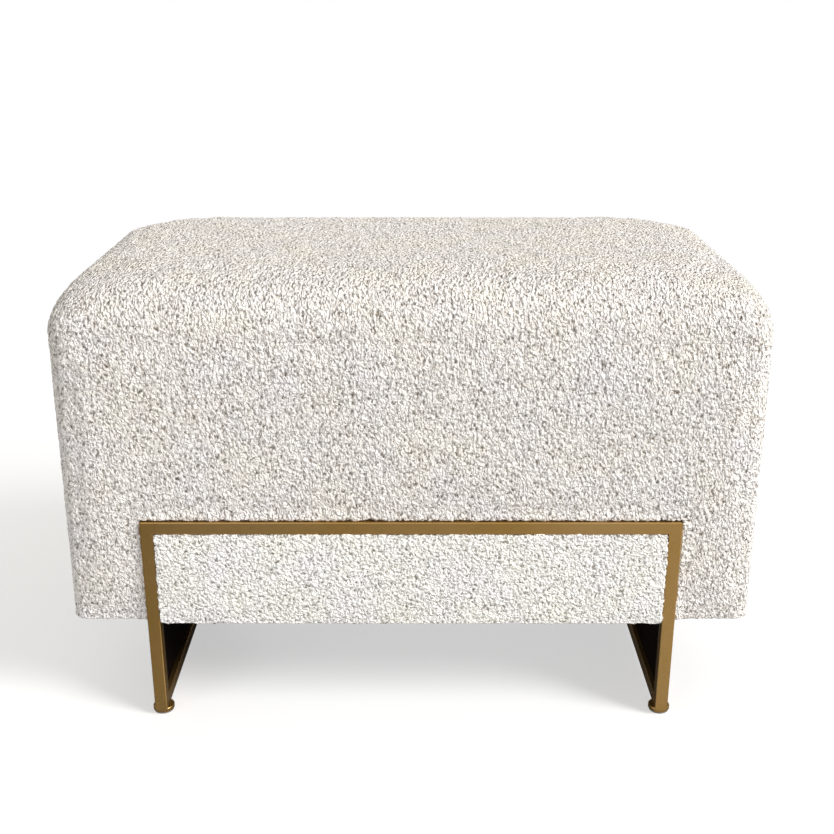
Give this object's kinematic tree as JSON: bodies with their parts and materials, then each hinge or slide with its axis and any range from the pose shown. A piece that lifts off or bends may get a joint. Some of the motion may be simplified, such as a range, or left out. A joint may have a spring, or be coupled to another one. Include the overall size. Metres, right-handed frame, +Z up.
{
  "type": "storage ottoman",
  "caption": "Upholstered storage ottoman with a hinged, rounded cushion lid on a gold square-tube sled frame with dark side infill.",
  "frame": {"origin": "on the floor under the middle of the object", "axes": "+X to the right along the long side, +Y to the back where the hinges are, +Z up"},
  "size_m": [0.696, 0.384, 0.467],
  "materials": {
    "gold_tube": "satin",
    "black_panel": "matte",
    "boucle": "matte",
    "wadding": "matte",
    "foam": "matte",
    "plywood": "matte",
    "lining": "matte",
    "dust_cover": "matte",
    "felt": "matte",
    "zinc_steel": "satin"
  },
  "bodies": {
    "base": {"front_top_bar": "gold_tube", "rear_top_bar": "gold_tube", "front_left_leg": "gold_tube", "front_right_leg": "gold_tube", "rear_left_leg": "gold_tube", "rear_right_leg": "gold_tube", "left_runner": "gold_tube", "right_runner": "gold_tube", "front_left_foot": "gold_tube", "front_right_foot": "gold_tube", "rear_left_foot": "gold_tube", "rear_right_foot": "gold_tube", "left_infill_panel": "black_panel", "right_infill_panel": "black_panel", "left_support_rail": "black_panel", "right_support_rail": "black_panel", "body_cover": "boucle", "front_inset_pad": "boucle", "rear_inset_pad": "boucle", "body_wadding": "wadding", "bottom_panel": "plywood", "front_wall": "plywood", "rear_wall": "plywood", "left_wall": "plywood", "right_wall": "plywood", "corner_posts": "plywood", "front_inset_board": "plywood", "rear_inset_board": "plywood", "wall_lining": "lining", "floor_lining": "lining", "dust_cover": "dust_cover", "foot_felts": "felt", "rail_felts": "felt", "bumpers": "felt", "foot_nuts": "zinc_steel", "frame_bolts": "zinc_steel", "frame_nuts": "zinc_steel", "hinge_body_screws": "zinc_steel", "stay_wall_screws": "zinc_steel", "left_hinge_body_leaf": "zinc_steel", "left_hinge_pin": "zinc_steel", "right_hinge_body_leaf": "zinc_steel", "right_hinge_pin": "zinc_steel", "left_stay_plate": "zinc_steel", "right_stay_plate": "zinc_steel"},
    "lid": {"lid_cover": "boucle", "lid_foam": "foam", "lid_lining": "lining", "lid_board": "plywood", "left_hinge_lid_leaf": "zinc_steel", "right_hinge_lid_leaf": "zinc_steel", "hinge_lid_screws": "zinc_steel", "left_stay_lid_bracket": "zinc_steel", "right_stay_lid_bracket": "zinc_steel", "stay_lid_screws": "zinc_steel"},
    "left_stay": {"left_stay_arm": "zinc_steel"},
    "right_stay": {"right_stay_arm": "zinc_steel"}
  },
  "joints": [
    {"name": "lid_hinge", "type": "hinge", "parent": "base", "child": "lid", "pos_m": [0, 0.186, 0.405], "axis": [-1, 0, 0], "range_deg": [0, 85]},
    {"name": "left_stay_pivot", "type": "hinge", "parent": "lid", "child": "left_stay", "pos_m": [-0.3238, 0.05598, 0.391], "axis": [1, 0, 0], "range_deg": [0, 42.5]},
    {"name": "right_stay_pivot", "type": "hinge", "parent": "lid", "child": "right_stay", "pos_m": [0.3238, 0.05598, 0.391], "axis": [1, 0, 0], "range_deg": [0, 42.5]}
  ],
  "couplings": [
    {"joint": "left_stay_pivot", "follows": "lid_hinge", "ratio": 0.5},
    {"joint": "right_stay_pivot", "follows": "lid_hinge", "ratio": 0.5}
  ]
}
